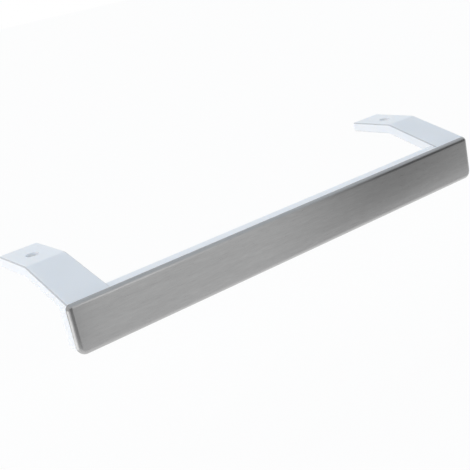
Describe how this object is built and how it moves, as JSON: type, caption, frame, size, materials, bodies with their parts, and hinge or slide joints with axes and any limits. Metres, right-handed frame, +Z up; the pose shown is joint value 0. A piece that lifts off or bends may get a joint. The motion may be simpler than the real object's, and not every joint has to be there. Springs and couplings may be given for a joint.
{
  "type": "refrigerator door handle",
  "caption": "Straight grip bar with a brushed metal front trim, carried on cranked moulded arms that end in flat screw feet.",
  "frame": {"origin": "midway between the axes of the screw holes, level with the seats of the feet", "axes": "+X along the grip bar, +Y from the trim back towards the foot tips, +Z up out of the feet along the screws"},
  "size_m": [0.322, 0.0856, 0.044],
  "materials": {
    "white_moulding": "smooth glossy white moulding",
    "brushed_trim": "fine grain brushed along the length of the bar"
  },
  "bodies": {
    "root": {"handle_body": "white_moulding", "front_trim": "brushed_trim"}
  },
  "joints": []
}
